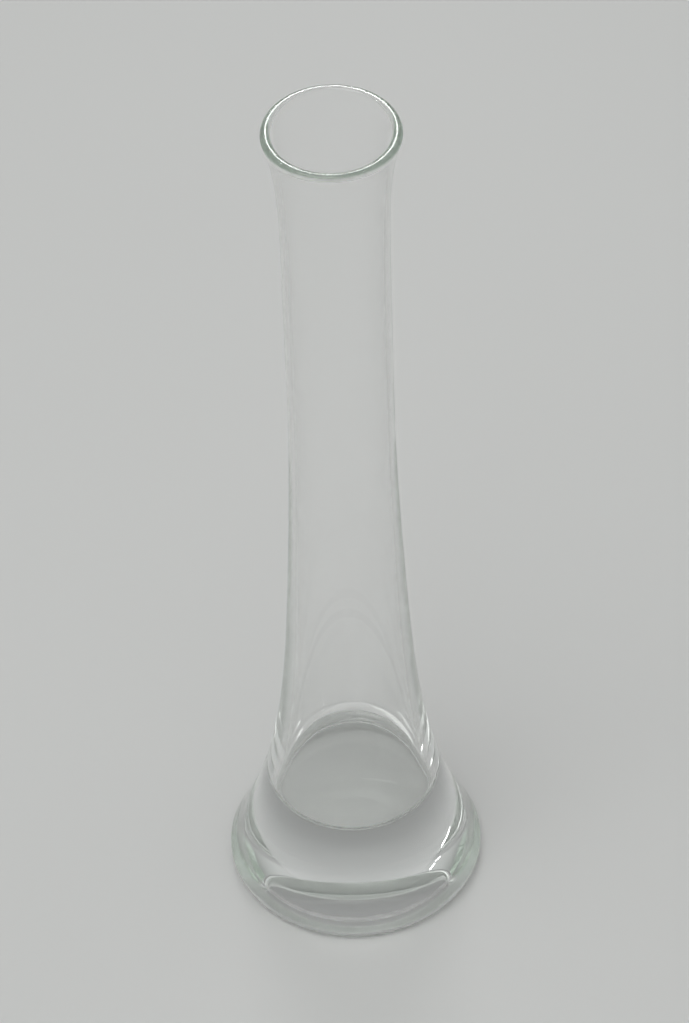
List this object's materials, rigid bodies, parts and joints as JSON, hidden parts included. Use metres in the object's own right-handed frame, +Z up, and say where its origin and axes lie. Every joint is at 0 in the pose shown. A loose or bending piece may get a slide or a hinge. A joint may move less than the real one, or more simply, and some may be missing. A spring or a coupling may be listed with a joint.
{
  "type": "glass bud vase",
  "caption": "Slender clear glass bud vase with a round flared lip, a straight narrow throat and a bell-shaped body on a thick solid base.",
  "frame": {"origin": "middle of the resting face, on the vase's axis", "axes": "+Z up along the vase's axis of symmetry, from the foot to the mouth; +X and +Y are any two directions square to it"},
  "size_m": [0.052, 0.052, 0.2],
  "materials": {
    "clear_glass": "clear soda-lime glass, fire-polished, smooth"
  },
  "bodies": {
    "root": {"vase": "clear_glass"}
  },
  "joints": []
}
